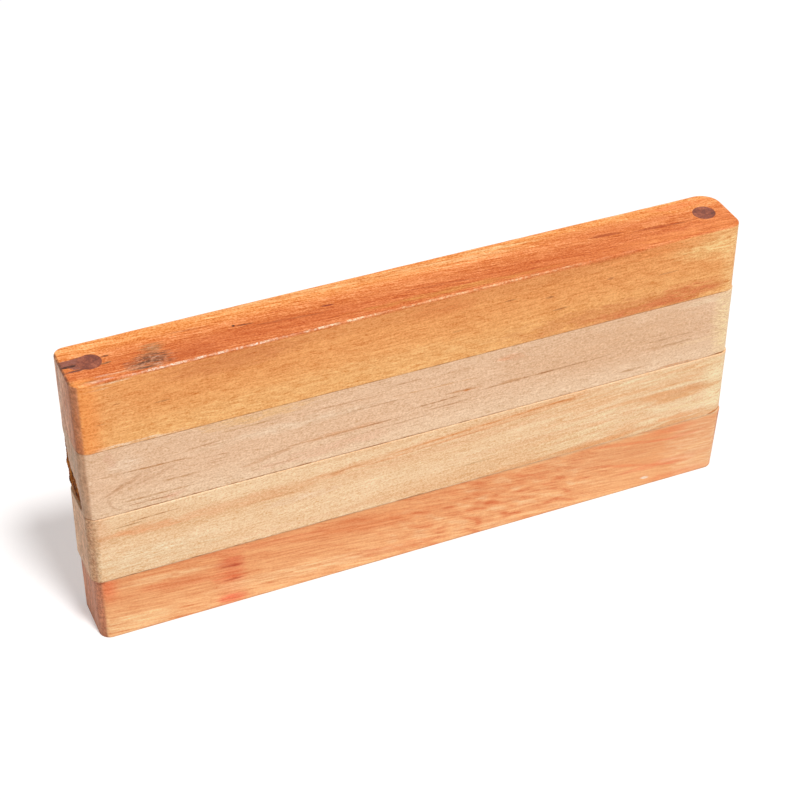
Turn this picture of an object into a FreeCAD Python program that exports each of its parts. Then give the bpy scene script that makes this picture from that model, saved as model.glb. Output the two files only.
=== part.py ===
import FreeCAD, Part
import Sketcher
import os

# Folding rest: four hardwood bars of one length stacked on edge and joined end to end by three
# vertical pegs, at the left, right and left again, so that the stack opens out like a folding rule.
# The origin lies on the resting face, midway between the two lines of pegs.
# +X runs along the bars to the right, +Y to the back and +Z up through the stack. Sizes are in mm.

SHARED_SIZES = {
    "bar_depth": 14.2,            # front face to back face
    "pivot_spacing": 138.4,       # left peg line to right peg line
    "corner_radius": 2.5,         # upright corners
    "blunt_radius": 4.5,          # back right upright corner, worn rounder than the rest
    "seam_gap": 0.05,             # running gap between one bar and the next
    "peg_diameter": 5.0,
    "glue_line": 0.02,            # glue film round a fixed peg, per side
    "running_clearance": 0.05,    # play round a turning peg, per side
    "head_diameter": 7.5,
    "head_height": 3.0,
    "head_chamfer": 0.4,
    "head_clearance": 0.25,       # room round the peg's head, per side
    "head_play": 0.1,             # between the head and the floor of its seat
    "head_recess": 0.2,           # head below the bar's underside
    "end_recess": 0.1,            # hidden peg and plug ends below the sliding faces
    "foot_recess": 0.3,           # base plug above the resting face
    "relief_length": 2.0,         # underside dubbed off towards the right end
    "relief_height": 0.25,
}

# foot and head are how far the end stands beyond its peg line at the bottom and at the top.
BAR_SIZES = {
    "bar_base": {
        "height": 16.1,
        "front_margin": 7.15,
        "left_foot": 5.5,
        "left_head": 5.5,
        "right_foot": 5.4,
        "right_head": 6.35,
        "top_rim": 0.08,
        "bottom_rim": 0.25,
    },
    "bar_lower": {
        "height": 16.95,
        "front_margin": 7.3,
        "left_foot": 6.05,
        "left_head": 5.85,
        "right_foot": 5.95,
        "right_head": 6.15,
        "top_rim": 0.18,
        "bottom_rim": 0.08,
    },
    "bar_upper": {
        "height": 17.05,
        "front_margin": 7.15,
        "left_foot": 5.95,
        "left_head": 5.9,
        "right_foot": 5.95,
        "right_head": 6.0,
        "top_rim": 0.1,
        "bottom_rim": 0.1,
    },
    "bar_top": {
        "height": 17.05,
        "front_margin": 7.2,
        "left_foot": 5.9,
        "left_head": 5.9,
        "right_foot": 5.7,
        "right_head": 5.7,
        "top_rim": 0.8,
        "bottom_rim": 0.08,
    },
}

LEFT = "-sizes.pivot_spacing / 2"
RIGHT = "sizes.pivot_spacing / 2"

BASE_LEVEL = "0"
LOWER_LEVEL = "sizes.bar_base_height + sizes.seam_gap"
UPPER_LEVEL = LOWER_LEVEL + " + sizes.bar_lower_height + sizes.seam_gap"
TOP_LEVEL = UPPER_LEVEL + " + sizes.bar_upper_height + sizes.seam_gap"

GLUED_BORE = "sizes.peg_diameter + 2 * sizes.glue_line"
RUNNING_BORE = "sizes.peg_diameter + 2 * sizes.running_clearance"

STEEP = 0.9          # least upward part of a unit direction that counts as upright
SAME_LEVEL = 0.001   # two heights closer than this are the same, in mm

doc = FreeCAD.newDocument("folding_rest")


def add_sizes():
    """One row per size: its name in column A, its value in column B under the same alias."""
    values = dict(SHARED_SIZES)
    for bar, sizes in BAR_SIZES.items():
        for size, value in sizes.items():
            values[bar + "_" + size] = value
    sheet = doc.addObject("Spreadsheet::Sheet", "sizes")
    for row, (alias, value) in enumerate(values.items(), start=1):
        sheet.set("A%d" % row, alias)
        sheet.set("B%d" % row, str(value))
        sheet.setAlias("B%d" % row, alias)
    doc.recompute()


def add_body(name):
    body = doc.addObject("PartDesign::Body", name)
    body.Label = name
    return body


def origin_feature(body, role):
    return next(item for item in body.Origin.OriginFeatures if item.Role == role)


def add_sketch(body, name, role):
    sketch = body.newObject("Sketcher::SketchObject", name)
    sketch.AttachmentSupport = [(origin_feature(body, role), "")]
    sketch.MapMode = "FlatFace"
    return sketch


def add_polygon(sketch, corners):
    """A closed outline. Each corner is (x expression, y expression), measured from the origin."""
    last = len(corners) - 1
    for number in range(len(corners)):
        start = FreeCAD.Vector(number, number % 2, 0)
        end = FreeCAD.Vector(number + 1, (number + 1) % 2, 0)
        sketch.addGeometry(Part.LineSegment(start, end), False)
    for number in range(len(corners)):
        following = 0 if number == last else number + 1
        sketch.addConstraint(Sketcher.Constraint("Coincident", number, 2, following, 1))
    for number, corner in enumerate(corners):
        for kind, expression in zip(("DistanceX", "DistanceY"), corner):
            place_point(sketch, kind, number, 1, expression)


def place_point(sketch, kind, geometry, point, expression):
    """Ties one coordinate of a point to the sketch's origin."""
    value = float(sketch.evalExpression(expression))
    if value == 0:
        axis = -2 if kind == "DistanceX" else -1
        sketch.addConstraint(Sketcher.Constraint("PointOnObject", geometry, point, axis))
        return
    if value > 0:
        constraint = Sketcher.Constraint(kind, -1, 1, geometry, point, value)
    else:
        constraint = Sketcher.Constraint(kind, geometry, point, -1, 1, -value)
        expression = "-(" + expression + ")"
    index = sketch.addConstraint(constraint)
    sketch.setExpression("Constraints[%d]" % index, expression)


def edge_names(shape, wanted):
    return ["Edge%d" % number for number, edge in enumerate(shape.Edges, start=1) if wanted(edge)]


def add_fillet(body, name, base, wanted, radius):
    fillet = body.newObject("PartDesign::Fillet", name)
    fillet.Base = (base, edge_names(base.Shape, wanted))
    fillet.setExpression("Radius", radius)
    doc.recompute()
    return fillet


def is_upright(edge):
    """True of the four corner edges, which lean a few degrees at most."""
    return abs(edge.tangentAt(edge.FirstParameter).z) > STEEP


def is_back_right(edge):
    return edge.CenterOfMass.x > 0 and edge.CenterOfMass.y > 0


def is_blunt_corner(edge):
    return is_upright(edge) and is_back_right(edge)


def is_other_corner(edge):
    return is_upright(edge) and not is_back_right(edge)


def is_level_at(height):
    def wanted(edge):
        heights = [vertex.Z for vertex in edge.Vertexes] + [edge.CenterOfMass.z]
        return all(abs(found - height) < SAME_LEVEL for found in heights)
    return wanted


def add_bar(name, level):
    """A bar with its ends, rounded corners and rims, before its bores are drilled."""
    body = add_body(name)
    own = "sizes." + name + "_"
    sketch = add_sketch(body, name + "_elevation", "XZ_Plane")
    add_polygon(sketch, [
        (LEFT + " - " + own + "left_foot", "0"),
        (RIGHT + " + " + own + "right_foot", "0"),
        (RIGHT + " + " + own + "right_head", own + "height"),
        (LEFT + " - " + own + "left_head", own + "height"),
    ])
    blank = body.newObject("PartDesign::Pad", name + "_blank")
    blank.Profile = sketch
    blank.SideType = "Two sides"
    blank.setExpression("Length", own + "front_margin")
    blank.setExpression("Length2", "sizes.bar_depth - " + own + "front_margin")
    doc.recompute()

    height = doc.getObject("sizes").get(name + "_height")
    shape = add_fillet(body, name + "_blunt_corner", blank, is_blunt_corner, "sizes.blunt_radius")
    shape = add_fillet(body, name + "_corners", shape, is_other_corner, "sizes.corner_radius")
    shape = add_fillet(body, name + "_top_rim", shape, is_level_at(height), own + "top_rim")
    add_fillet(body, name + "_bottom_rim", shape, is_level_at(0), own + "bottom_rim")
    body.setExpression("Placement.Base.z", level)
    return body


def drill(body, side, diameter, seat=False):
    """A bore right up through the bar from its underside, with a seat for a peg's head or without."""
    name = body.Label + ("_left_bore" if side == LEFT else "_right_bore")
    sketch = add_sketch(body, name + "_centre", "XY_Plane")
    circle = sketch.addGeometry(Part.Circle(FreeCAD.Vector(1, 0, 0), FreeCAD.Vector(0, 0, 1), 1), False)
    place_point(sketch, "DistanceX", circle, 3, side)
    place_point(sketch, "DistanceY", circle, 3, "0")
    index = sketch.addConstraint(Sketcher.Constraint("Diameter", circle, 1))
    sketch.setExpression("Constraints[%d]" % index, diameter)
    doc.recompute()

    bore = body.newObject("PartDesign::Hole", name)
    bore.Profile = sketch
    bore.Reversed = True
    bore.DepthType = "ThroughAll"
    bore.setExpression("Diameter", diameter)
    if seat:
        bore.HoleCutType = "Counterbore"
        bore.HoleCutCustomValues = True
        bore.setExpression("HoleCutDiameter", "sizes.head_diameter + 2 * sizes.head_clearance")
        bore.setExpression("HoleCutDepth", "sizes.head_recess + sizes.head_height + sizes.head_play")
    doc.recompute()


def relieve_right_end(body):
    """A shallow wedge off the underside, from the relief length inwards to the end."""
    own = "sizes." + body.Label + "_"
    end = RIGHT + " + max(" + own + "right_foot; " + own + "right_head)"
    sketch = add_sketch(body, body.Label + "_relief_outline", "XZ_Plane")
    add_polygon(sketch, [
        (end + " - sizes.relief_length", "0"),
        (end + " + sizes.relief_length", "0"),
        (end + " + sizes.relief_length", "2 * sizes.relief_height"),
    ])
    relief = body.newObject("PartDesign::Pocket", body.Label + "_relief")
    relief.Profile = sketch
    relief.SideType = "Symmetric"
    relief.Type = "ThroughAll"
    doc.recompute()


def add_headed_peg(name, side, level, lower_bar, upper_bar, end_recess):
    """A turned peg. Its head sits in the lower bar's seat and its shank ends in the upper bar."""
    body = add_body(name)
    shank = "sizes.peg_diameter / 2"
    head = "sizes.head_diameter / 2"
    heights = "sizes." + lower_bar + "_height + sizes.seam_gap + sizes." + upper_bar + "_height"
    length = heights + " - sizes.head_recess - " + end_recess
    sketch = add_sketch(body, name + "_profile", "XZ_Plane")
    add_polygon(sketch, [
        ("0", "0"),
        (head + " - sizes.head_chamfer", "0"),
        (head, "sizes.head_chamfer"),
        (head, "sizes.head_height"),
        (shank, "sizes.head_height"),
        (shank, length),
        ("0", length),
    ])
    turning = body.newObject("PartDesign::Revolution", name + "_turning")
    turning.Profile = sketch
    turning.ReferenceAxis = (origin_feature(body, "Z_Axis"), [""])
    turning.Angle = 360
    body.setExpression("Placement.Base.x", side)
    body.setExpression("Placement.Base.z", level + " + sizes.head_recess")


def add_plug(name, side, level, bar, bottom_recess, top_recess):
    """A plain length of peg glued into a bore that carries no pivot."""
    plug = doc.addObject("Part::Cylinder", name)
    plug.Label = name
    plug.setExpression("Radius", "sizes.peg_diameter / 2")
    plug.setExpression("Height", "sizes." + bar + "_height - " + bottom_recess + " - " + top_recess)
    plug.setExpression("Placement.Base.x", side)
    plug.setExpression("Placement.Base.z", level + " + " + bottom_recess)


def add_bars():
    base = add_bar("bar_base", BASE_LEVEL)
    drill(base, LEFT, RUNNING_BORE, seat=True)
    drill(base, RIGHT, GLUED_BORE)

    lower = add_bar("bar_lower", LOWER_LEVEL)
    relieve_right_end(lower)
    drill(lower, LEFT, GLUED_BORE)
    drill(lower, RIGHT, RUNNING_BORE, seat=True)

    upper = add_bar("bar_upper", UPPER_LEVEL)
    relieve_right_end(upper)
    drill(upper, LEFT, RUNNING_BORE, seat=True)
    drill(upper, RIGHT, GLUED_BORE)

    top = add_bar("bar_top", TOP_LEVEL)
    drill(top, LEFT, GLUED_BORE)
    drill(top, RIGHT, GLUED_BORE)


def add_pegs_and_plugs():
    hidden = "sizes.end_recess"
    flush = "0"
    add_headed_peg("pivot_peg_base", LEFT, BASE_LEVEL, "bar_base", "bar_lower", hidden)
    add_headed_peg("pivot_peg_middle", RIGHT, LOWER_LEVEL, "bar_lower", "bar_upper", hidden)
    add_headed_peg("pivot_peg_top", LEFT, UPPER_LEVEL, "bar_upper", "bar_top", flush)
    add_plug("end_plug_base", RIGHT, BASE_LEVEL, "bar_base", "sizes.foot_recess", hidden)
    add_plug("end_plug_top", RIGHT, TOP_LEVEL, "bar_top", hidden, flush)


def export_subparts():
    doc.recompute()
    failed = [item.Name for item in doc.Objects if {"Invalid", "Error"} & set(item.State)]
    if failed:
        raise RuntimeError("failed features: " + ", ".join(failed))
    subparts = doc.findObjects("PartDesign::Body") + doc.findObjects("Part::Cylinder")
    for subpart in subparts:
        if subpart.Shape.isNull() or not subpart.Shape.isValid():
            raise RuntimeError("bad shape: " + subpart.Label)
    os.makedirs("parts", exist_ok=True)
    for subpart in subparts:
        subpart.Shape.exportStep("parts/" + subpart.Label + ".step")
        print("%-18s %9.2f mm3" % (subpart.Label, subpart.Shape.Volume))


add_sizes()
add_bars()
add_pegs_and_plugs()
export_subparts()
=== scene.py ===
import itertools
import math

import bmesh
import bpy
import numpy as np
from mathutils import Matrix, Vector


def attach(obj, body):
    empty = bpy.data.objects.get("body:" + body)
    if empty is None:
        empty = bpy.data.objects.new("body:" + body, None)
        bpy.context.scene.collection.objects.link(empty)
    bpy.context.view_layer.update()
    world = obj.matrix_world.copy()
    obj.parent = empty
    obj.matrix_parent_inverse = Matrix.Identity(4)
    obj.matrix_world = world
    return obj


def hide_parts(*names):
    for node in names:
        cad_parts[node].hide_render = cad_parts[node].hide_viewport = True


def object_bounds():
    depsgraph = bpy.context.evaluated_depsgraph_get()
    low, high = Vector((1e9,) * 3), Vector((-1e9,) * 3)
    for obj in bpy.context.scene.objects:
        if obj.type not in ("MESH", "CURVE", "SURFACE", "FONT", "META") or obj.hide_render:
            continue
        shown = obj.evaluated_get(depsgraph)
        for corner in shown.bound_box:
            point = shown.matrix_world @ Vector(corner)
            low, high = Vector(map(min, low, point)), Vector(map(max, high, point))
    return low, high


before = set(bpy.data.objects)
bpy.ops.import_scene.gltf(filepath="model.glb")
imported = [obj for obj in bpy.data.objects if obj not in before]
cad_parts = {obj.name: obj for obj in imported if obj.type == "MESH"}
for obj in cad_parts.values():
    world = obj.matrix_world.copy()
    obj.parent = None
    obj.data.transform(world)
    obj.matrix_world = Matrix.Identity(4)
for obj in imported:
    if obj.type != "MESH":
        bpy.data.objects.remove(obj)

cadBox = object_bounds()
mm = 0.001
mergeDistance = 2e-6
shortestEdge = 1e-7


def lattice(x, y, z, size, seed):
    # value noise from 0 to 1: a sine hash at the eight corners of each cell, blended by 3t^2 - 2t^3
    scaled = [np.asarray(c) / size + 57.0 for c in (x, y, z)]
    cells = [np.floor(c) for c in scaled]
    parts = [c - f for c, f in zip(scaled, cells)]
    parts = [t * t * (3 - 2 * t) for t in parts]
    total = 0.0
    for corner in itertools.product((0, 1), repeat=3):
        mixed = (cells[0] + corner[0]) * 12.99 + (cells[1] + corner[1]) * 78.23
        mixed = mixed + (cells[2] + corner[2]) * 37.72 + seed * 4.13
        hashed = np.sin(mixed) * 4375.85
        weight = 1.0
        for share, side in zip(parts, corner):
            weight = weight * (share if side else 1 - share)
        total = total + (hashed - np.floor(hashed)) * weight
    return total


def smoothStep(value, low, high):
    t = np.clip((value - low) / (high - low), 0, 1)
    return t * t * (3 - 2 * t)


def gridFaces(rows, columns, closed=False, first=0):
    # one four-sided face to each cell of a grid whose points are numbered row by row
    grid = first + np.arange(rows * columns).reshape(rows, columns)
    if closed:
        grid = np.hstack([grid, grid[:, :1]])
    return np.stack([grid[:-1, :-1], grid[:-1, 1:], grid[1:, 1:], grid[1:, :-1]], -1).reshape(-1, 4)


def addObject(name, data):
    item = bpy.data.objects.new(name, data)
    bpy.context.collection.objects.link(item)
    return item


def makePiece(name, points, faces, body, slot, material, sharp=50):
    # points in millimetres become a closed, merged mesh whose object stays at the origin
    mesh = bpy.data.meshes.new(name)
    mesh.from_pydata((np.asarray(points) * mm).tolist(), [], np.asarray(faces).tolist())
    work = bmesh.new()
    work.from_mesh(mesh)
    bmesh.ops.remove_doubles(work, verts=work.verts, dist=mergeDistance)
    bmesh.ops.dissolve_degenerate(work, dist=shortestEdge, edges=work.edges)
    bmesh.ops.recalc_face_normals(work, faces=work.faces)
    work.to_mesh(mesh)
    work.free()
    mesh.polygons.foreach_set("use_smooth", np.ones(len(mesh.polygons), bool))
    mesh.set_sharp_from_angle(angle=math.radians(sharp))
    mesh.materials.append(material)
    piece = addObject(name, mesh)
    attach(piece, body)
    return piece


def maths(operation, kind="ShaderNodeMath"):
    # a method that adds a Math node for a Value and what else goes into it
    return lambda self, *others: join(self.tree, kind, {"operation": operation}, (self, *others))


class Value:
    # the number, colour or vector that a socket gives; operators on numbers add Math nodes

    def __init__(self, tree, socket):
        self.tree = tree
        self.socket = socket

    __add__ = maths("ADD")
    __sub__ = maths("SUBTRACT")
    __mul__ = maths("MULTIPLY")
    __truediv__ = maths("DIVIDE")
    __abs__ = maths("ABSOLUTE")
    timesPlus = maths("MULTIPLY_ADD")
    least = maths("MINIMUM")
    most = maths("MAXIMUM")
    spreadPlus = maths("MULTIPLY_ADD", "ShaderNodeVectorMath")
    times = maths("MULTIPLY", "ShaderNodeVectorMath")

    def __rsub__(self, other):
        return join(self.tree, "ShaderNodeMath", {"operation": "SUBTRACT"}, (other, self))

    def step(self, low, high, bottom=0.0, top=1.0):
        # a smooth step from bottom to top as the number goes from low to high
        settings = {"interpolation_type": "SMOOTHSTEP"}
        values = (self, low, high, bottom, top)
        if low > high:
            values = (self, high, low, top, bottom)
        return join(self.tree, "ShaderNodeMapRange", settings, values)


def join(tree, kind, settings, values, output=0):
    # a shader node of that kind: its settings first, then the links, values or colour codes of its sockets
    node = tree.nodes.new(kind)
    for setting, value in settings.items():
        if setting == "stops":
            ramp = node.color_ramp
            while len(ramp.elements) < len(value):
                ramp.elements.new(0.5)
            for element, (place, colour) in zip(ramp.elements, value):
                element.position = place
                element.color = tint(colour)
        else:
            setattr(node, setting, value)
    pairs = values.items() if isinstance(values, dict) else enumerate(values)
    for place, value in pairs:
        if isinstance(value, Value):
            tree.links.new(value.socket, node.inputs[place])
        elif value is not None:
            node.inputs[place].default_value = tint(value) if isinstance(value, str) else value
    return Value(tree, node.outputs[output]) if len(node.outputs) else None


def tint(code):
    # a written sRGB colour as the linear colour that shaders take
    parts = [int(code[i:i + 2], 16) / 255 for i in (0, 2, 4)]
    return tuple(p / 12.92 if p < 0.04045 else ((p + 0.055) / 1.055) ** 2.4 for p in parts) + (1.0,)


def emptyMaterial(name):
    material = bpy.data.materials.new(name)
    material.use_nodes = True
    material.node_tree.nodes.clear()
    return material


class Finish:
    # a material being built, with the points of its piece in millimetres

    def __init__(self, name):
        self.material = emptyMaterial(name)
        self.tree = self.material.node_tree
        place = join(self.tree, "ShaderNodeTexCoord", {}, {}, "Object")
        values = {0: place, "Scale": 1 / mm}
        self.point = join(self.tree, "ShaderNodeVectorMath", {"operation": "SCALE"}, values)
        split = join(self.tree, "ShaderNodeSeparateXYZ", {}, (self.point,))
        self.x, self.y, self.z = [Value(self.tree, s) for s in split.socket.node.outputs]

    def vector(self, x, y, z):
        return join(self.tree, "ShaderNodeCombineXYZ", {}, (x, y, z))

    def noise(self, vector, scale=1.0, detail=2.0, roughness=0.5, warp=0.0):
        values = {"Vector": vector, "Scale": scale, "Detail": detail, "Roughness": roughness}
        return join(self.tree, "ShaderNodeTexNoise", {}, {**values, "Distortion": warp})

    def mix(self, factor, first, second):
        # 6 and 7 are the colour inputs of a Mix node, and 2 is its colour output
        return join(self.tree, "ShaderNodeMix", {"data_type": "RGBA"}, {0: factor, 6: first, 7: second}, 2)

    def ramp(self, value, stops):
        return join(self.tree, "ShaderNodeValToRGB", {"stops": stops}, (value,))

    def bump(self, height, strength, distance):
        # distance in millimetres is the height that one stands for
        values = {"Height": height, "Strength": strength, "Distance": distance * mm}
        return join(self.tree, "ShaderNodeBump", {}, values)

    def close(self, colour, roughness, normal, specular=0.3):
        values = {"Base Color": colour, "Roughness": roughness, "Normal": normal}
        shader = join(self.tree, "ShaderNodeBsdfPrincipled", {}, {**values, "Specular IOR Level": specular})
        join(self.tree, "ShaderNodeOutputMaterial", {}, {"Surface": shader})
        return self.material


# sizes in millimetres that the four bars share, the bores and seats as radii
barDepth = 14.2
halfSpacing = 69.2
cornerRadius = 2.5
bluntRadius = 4.5
gluedBore = 2.52
turningBore = 2.55
seatRadius = 4.0
seatDepth = 3.3
tipLength = 6.0         # along the bar, from a bore's centre to where its rows close behind it
reliefLength = 2.0      # the right end of an underside is eased off over this length
reliefHeight = 0.25
offSkin = 99.0          # stands for a place that the bark never reaches

# how finely each stretch of a bar is divided
tipColumns = 11
runColumns = 171
shortColumns = 6
endColumns = 33
arcColumns = 10
flatRows = 8
sideRows = 25
topRimRows = 6
bottomRimRows = 4

# uneven hand work in millimetres: how deep and how long its slow and its quick waves are
wear = {
    "rimLeast": 0.8,
    "rimSwing": 0.45,
    "rimWaves": (7.0, 2.2),
    "slowDepth": 0.035,
    "slowWave": 13.0,
    "quickDepth": 0.015,
    "quickWave": 4.0,
    "atRim": 0.35,
    "rimReach": 1.5,
}


def wornRim(x, y):
    # share of the full rim: about half of it, more at the front left corner and most at the right end
    corner = np.exp(-((x + 72) / 7) ** 2 - ((y + 7) / 3) ** 2)
    return 0.45 + 0.35 * smoothStep(x, 25, 70) + 0.2 * corner


topBar = {
    "node": "bar_top",
    "body": "top_arm",
    "slot": "orange_wood",
    "level": 50.25,
    "height": 17.05,
    "frontMargin": 7.2,
    "leftFoot": 5.9,
    "leftHead": 5.9,
    "rightFoot": 5.7,
    "rightHead": 5.7,
    "topRim": 0.8,
    "bottomRim": 0.08,
    "seat": None,
    "relieved": False,
    "seed": 1,
    "rimShape": wornRim,
}

bark = {
    # along the skin in mm: below nought on the back face, then round the corner and forwards across the end
    "along": (-14.0, -7.0, 0.0, 3.8, 4.8, 5.6, 7.0, 9.6, 10.7, 11.5, 12.3, 12.7),
    "upper": (1.2, 7.5, 13.0, 15.3, 13.4, 9.6, 7.5, 6.9, 5.9, 5.0, 3.2, 1.9),
    "lower": (0.1, 0.05, 0.05, 0.05, 0.05, 0.05, 0.08, 0.3, 0.5, 0.8, 1.2, 1.5),
    "depth": 1.0,
    "proud": 0.1,
    "bump": 0.3,
    "fray": 0.9,
    "startInset": 0.4,
    "taperLength": 1.2,
    "columns": 230,
    "rows": 56,
    "seed": 11,
}


def backCorner():
    # the centre of the arc at the upper bar's left back corner
    back = barDepth - upperBar["frontMargin"]
    return -halfSpacing - upperBar["leftFoot"] + cornerRadius, back - cornerRadius


def skinLength(x, y):
    # how far a point of the upper bar's outline lies along the skin from the start of that corner
    cx, cy = backCorner()
    turned = cornerRadius * np.arctan2(np.maximum(cx - x, 0), np.maximum(y - cy, 1e-6))
    length = np.where(y < cy, cornerRadius * np.pi / 2 + cy - y, turned)
    return np.where(x > cx, np.where(y > 0, cx - x, offSkin), length)


def barkHollow(x, y, heights):
    # where the bark has come away the bar is sunk, with a step 0.6 mm wide round the patch
    length = skinLength(x, y)
    over = heights - np.interp(length, bark["along"], bark["lower"])
    under = np.interp(length, bark["along"], bark["upper"]) - heights
    inside = smoothStep(over, -0.6, -0.1) * smoothStep(under, -0.1, 0.5)
    inside = inside * smoothStep(length, bark["along"][0], bark["along"][0] + 3)
    return bark["depth"] * inside * smoothStep(bark["along"][-1] - length, -0.1, 0.8)


upperBar = {
    "node": "bar_upper",
    "body": "upper_arm",
    "slot": "beige_wood",
    "level": 33.15,
    "height": 17.05,
    "frontMargin": 7.15,
    "leftFoot": 5.95,
    "leftHead": 5.9,
    "rightFoot": 5.95,
    "rightHead": 6.0,
    "topRim": 0.1,
    "bottomRim": 0.1,
    "seat": "left",
    "relieved": True,
    "seed": 2,
    "hollow": barkHollow,
}

lowerBar = {
    "node": "bar_lower",
    "body": "lower_arm",
    "slot": "cream_wood",
    "level": 16.15,
    "height": 16.95,
    "frontMargin": 7.3,
    "leftFoot": 6.05,
    "leftHead": 5.85,
    "rightFoot": 5.95,
    "rightHead": 6.15,
    "topRim": 0.18,
    "bottomRim": 0.08,
    "seat": "right",
    "relieved": True,
    "seed": 3,
}

baseBar = {
    "node": "bar_base",
    "body": "base_arm",
    "slot": "salmon_wood",
    "level": 0.0,
    "height": 16.1,
    "frontMargin": 7.15,
    "leftFoot": 5.5,
    "leftHead": 5.5,
    "rightFoot": 5.4,
    "rightHead": 6.35,
    "topRim": 0.08,
    "bottomRim": 0.25,
    "seat": "left",
    "relieved": False,
    "seed": 4,
}


def runStations():
    # places along a long side, closer together beside the bores
    half = halfSpacing
    tip = half - tipLength
    left = np.linspace(-half, -tip, tipColumns)
    middle = np.linspace(-tip, tip, runColumns)
    return np.concatenate([left[:-1], middle, -left[-2::-1]])


def walkOutline(bar, height):
    # seen from above and anticlockwise from the left peg line: straight runs between corner arcs,
    # an arc being its centre + its radius * (cos, sin), with ends that lean as the height grows
    lean = height / bar["height"]
    half = halfSpacing
    left = -half - bar["leftFoot"] - (bar["leftHead"] - bar["leftFoot"]) * lean
    right = half + bar["rightFoot"] + (bar["rightHead"] - bar["rightFoot"]) * lean
    front = -bar["frontMargin"] + 0 * lean
    back = barDepth - bar["frontMargin"] + 0 * lean
    sharp = cornerRadius
    blunt = bluntRadius
    run = runStations()[None, :] + 0 * lean
    short = np.linspace(0, 1, shortColumns)[None, :]
    side = np.linspace(0, 1, endColumns)[None, :]

    def straight(x0, y0, x1, y1, share, normal):
        xs = x0 + (x1 - x0) * share
        ys = y0 + (y1 - y0) * share
        return xs, ys, normal[0] + 0 * xs, normal[1] + 0 * xs

    def arc(cx, cy, radius, start):
        angle = np.radians(np.linspace(start, start + 90, arcColumns))[None, 1:-1]
        nx = np.cos(angle) + 0 * cx
        ny = np.sin(angle) + 0 * cx
        return cx + radius * nx, cy + radius * ny, nx, ny

    parts = [
        (run, front + 0 * run, 0 * run, 0 * run - 1),
        straight(half + 0 * lean, front, right - sharp, front, short[:, 1:], (0, -1)),
        arc(right - sharp, front + sharp, sharp, -90),
        straight(right, front + sharp, right, back - blunt, side, (1, 0)),
        arc(right - blunt, back - blunt, blunt, 0),
        straight(right - blunt, back, half + 0 * lean, back, short, (0, 1)),
        (run[:, -2::-1], back + 0 * run[:, 1:], 0 * run[:, 1:], 0 * run[:, 1:] + 1),
        straight(-half + 0 * lean, back, left + sharp, back, short[:, 1:], (0, 1)),
        arc(left + sharp, back - sharp, sharp, 90),
        straight(left, back - sharp, left, front + sharp, side, (-1, 0)),
        arc(left + sharp, front + sharp, sharp, 180),
        straight(left + sharp, front, -half + 0 * lean, front, short[:, :-1], (0, -1)),
    ]
    return [np.concatenate([part[k] for part in parts], axis=1) for k in range(4)]


def innerLoop(x, y, leftRadius, rightRadius):
    # where each outline point's row ends: on a bore's circle, or on the middle line between the bores
    half = halfSpacing
    share = (x + half - tipLength) / (2 * (half - tipLength))
    loopX = -half + leftRadius + (2 * half - leftRadius - rightRadius) * share
    loopY = np.zeros_like(y)
    for centre, radius, away in ((-half, leftRadius, -1), (half, rightRadius, 1)):
        beyond = away * (x - centre)
        turn = np.arctan2(y, x - centre)
        quarter = np.clip(-beyond / tipLength, 0, 1) * np.pi / 2
        innerX = centre - away * radius * np.sin(quarter)
        nearX = np.where(beyond > 0, centre + radius * np.cos(turn), innerX)
        nearY = np.where(beyond > 0, radius * np.sin(turn), np.sign(y) * radius * np.cos(quarter))
        loopX = np.where(beyond > 1e-6 - tipLength, nearX, loopX)
        loopY = np.where(beyond > 1e-6 - tipLength, nearY, loopY)
    return loopX, loopY


def rimRows(radius, steps, top):
    # a quarter turn: inset = r(1 - cos a), drop = r(1 - sin a), from the side to the flat
    angle = np.linspace(0, np.pi / 2, steps)[:, None]
    inset = radius * (1 - np.cos(angle))
    drop = radius * (1 - np.sin(angle))
    return (inset, drop) if top else (inset[::-1], drop[::-1])


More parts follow.
